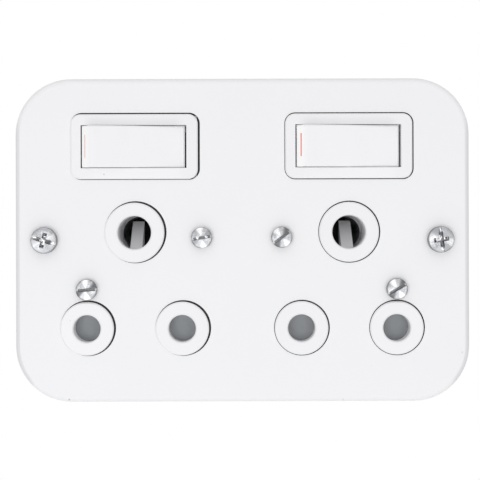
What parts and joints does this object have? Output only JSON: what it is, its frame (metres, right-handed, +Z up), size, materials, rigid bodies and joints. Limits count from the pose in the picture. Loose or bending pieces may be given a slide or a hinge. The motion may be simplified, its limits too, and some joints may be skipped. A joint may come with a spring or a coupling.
{
  "type": "double switched wall socket",
  "caption": "Flush wall plate with a turned rim that carries twin round-pin socket modules, each with a rocker switch and a shutter that the earth pin opens.",
  "frame": {"origin": "middle of the cover plate, on the wall plane that its turned rim rests on", "axes": "+X to the right as the user faces the plate, +Z up, +Y into the wall; the front faces -Y"},
  "size_m": [0.1216, 0.0331, 0.0866],
  "materials": {
    "plate_enamel": "satin baked enamel",
    "white_moulding": "semi-gloss moulding",
    "white_rocker": "semi-gloss moulding",
    "black_moulding": "matt thermoset moulding",
    "grey_moulding": "matt moulding",
    "plunger_acetal": "natural",
    "screw_steel": "bright zinc plate",
    "terminal_steel": "passivated zinc",
    "spring_wire": "drawn wire",
    "brass": "as pressed",
    "copper_strip": "as rolled",
    "silver_tip": "silver alloy"
  },
  "bodies": {
    "socket": {"cover_plate": "plate_enamel", "fixing_screws": "screw_steel", "module_screws": "screw_steel", "front_moulding_left": "white_moulding", "rear_base_left": "black_moulding", "insert_nuts_left": "brass", "base_screws_left": "screw_steel", "fixed_tip_left": "silver_tip", "line_terminal_left": "brass", "live_contact_left": "brass", "neutral_contact_left": "brass", "earth_contact_left": "brass", "terminal_screws_left": "terminal_steel", "shutter_spring_left": "spring_wire", "front_moulding_right": "white_moulding", "rear_base_right": "black_moulding", "insert_nuts_right": "brass", "base_screws_right": "screw_steel", "fixed_tip_right": "silver_tip", "line_terminal_right": "brass", "live_contact_right": "brass", "neutral_contact_right": "brass", "earth_contact_right": "brass", "terminal_screws_right": "terminal_steel", "shutter_spring_right": "spring_wire"},
    "rocker_left": {"rocker_left": "white_rocker", "plunger_spring_left": "spring_wire"},
    "plunger_left": {"plunger_left": "plunger_acetal"},
    "lever_left": {"contact_lever_left": "copper_strip", "moving_tip_left": "silver_tip"},
    "shutter_left": {"shutter_left": "grey_moulding"},
    "rocker_right": {"rocker_right": "white_rocker", "plunger_spring_right": "spring_wire"},
    "plunger_right": {"plunger_right": "plunger_acetal"},
    "lever_right": {"contact_lever_right": "copper_strip", "moving_tip_right": "silver_tip"},
    "shutter_right": {"shutter_right": "grey_moulding"}
  },
  "joints": [
    {"name": "rocker_left", "type": "hinge", "parent": "socket", "child": "rocker_left", "pos_m": [-0.02881, -0.0042, 0.02498], "axis": [0, 0, 1], "range_deg": [-12, 0]},
    {"name": "plunger_left", "type": "slide", "parent": "rocker_left", "child": "plunger_left", "axis": [0.1045, -0.9945, 0], "range_m": [0, 0.001], "stiffness_N_per_m": 400, "springref_m": -0.003, "deforming": ["plunger_spring_left"]},
    {"name": "lever_left", "type": "hinge", "parent": "socket", "child": "lever_left", "pos_m": [-0.02881, 0.006, 0.02498], "axis": [0, 0, 1], "range_deg": [0, 18]},
    {"name": "shutter_left", "type": "slide", "parent": "socket", "child": "shutter_left", "axis": [0, 0, -1], "range_m": [0, 0.0078], "stiffness_N_per_m": 120, "springref_m": -0.01, "deforming": ["shutter_spring_left"]},
    {"name": "rocker_right", "type": "hinge", "parent": "socket", "child": "rocker_right", "pos_m": [0.02843, -0.0042, 0.02505], "axis": [0, 0, 1], "range_deg": [-12, 0]},
    {"name": "plunger_right", "type": "slide", "parent": "rocker_right", "child": "plunger_right", "axis": [0.1045, -0.9945, 0], "range_m": [0, 0.001], "stiffness_N_per_m": 400, "springref_m": -0.003, "deforming": ["plunger_spring_right"]},
    {"name": "lever_right", "type": "hinge", "parent": "socket", "child": "lever_right", "pos_m": [0.02843, 0.006, 0.02505], "axis": [0, 0, 1], "range_deg": [0, 18]},
    {"name": "shutter_right", "type": "slide", "parent": "socket", "child": "shutter_right", "axis": [0, 0, -1], "range_m": [0, 0.0078], "stiffness_N_per_m": 120, "springref_m": -0.01, "deforming": ["shutter_spring_right"]}
  ],
  "couplings": [
    {"joint": "lever_left", "follows": "rocker_left", "ratio": -1.5},
    {"joint": "lever_right", "follows": "rocker_right", "ratio": -1.5}
  ]
}
